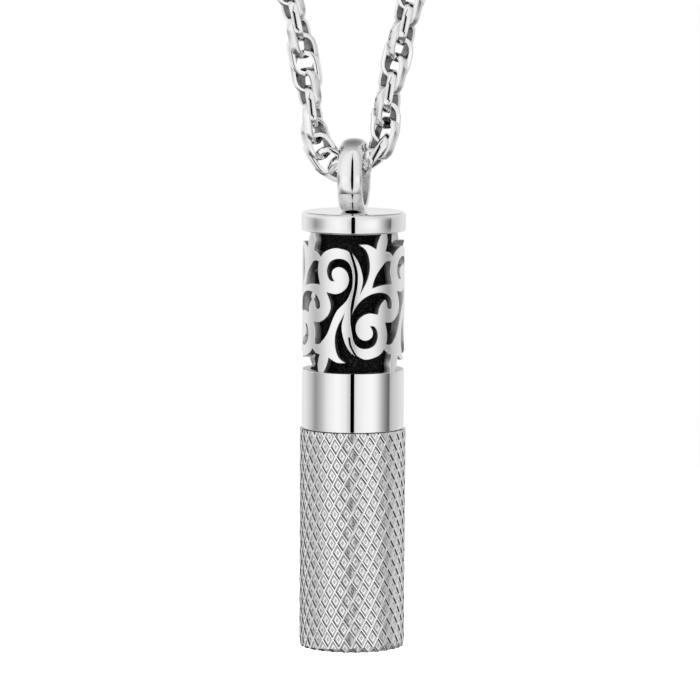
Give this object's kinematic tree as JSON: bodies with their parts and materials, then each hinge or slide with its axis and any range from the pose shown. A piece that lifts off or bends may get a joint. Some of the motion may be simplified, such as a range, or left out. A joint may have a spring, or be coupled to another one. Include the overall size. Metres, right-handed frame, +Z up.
{
  "type": "perfume locket necklace",
  "caption": "Slim cylindrical perfume locket with a pierced scroll tube over a felt core and a knurled screw base, hung by a cap ring on a rope chain",
  "frame": {"origin": "inner side of the loop at the nape, under the middle of the clasp, where the necklace hangs", "axes": "+Z is up along the hanging pendant, +X is to the right across the loop as seen from the front, and +Y points back, away from the viewer"},
  "size_m": [0.0807, 0.0102, 0.2993],
  "materials": {
    "polished_steel": "mirror-polished stainless steel",
    "chain_steel": "polished stainless steel wire",
    "knurled_steel": "bright stainless steel with a cut diamond knurl",
    "felt": "rough black felt"
  },
  "bodies": {
    "loop": {"chain": "chain_steel", "clasp": "polished_steel", "jump_ring_left": "polished_steel", "jump_ring_right": "polished_steel"},
    "pendant": {"cap_with_bail": "polished_steel", "pierced_tube": "polished_steel", "scent_core": "felt"},
    "base": {"knurled_base": "knurled_steel"}
  },
  "joints": [
    {"name": "pendant_swing", "type": "hinge", "parent": "loop", "child": "pendant", "pos_m": [0, 0, -0.2484], "axis": [0.9903, -0.1392, 0], "range_deg": [-90, 90]},
    {"name": "base_release", "type": "slide", "parent": "pendant", "child": "base", "axis": [0, 0, -1], "range_m": [0, 0.005]}
  ]
}
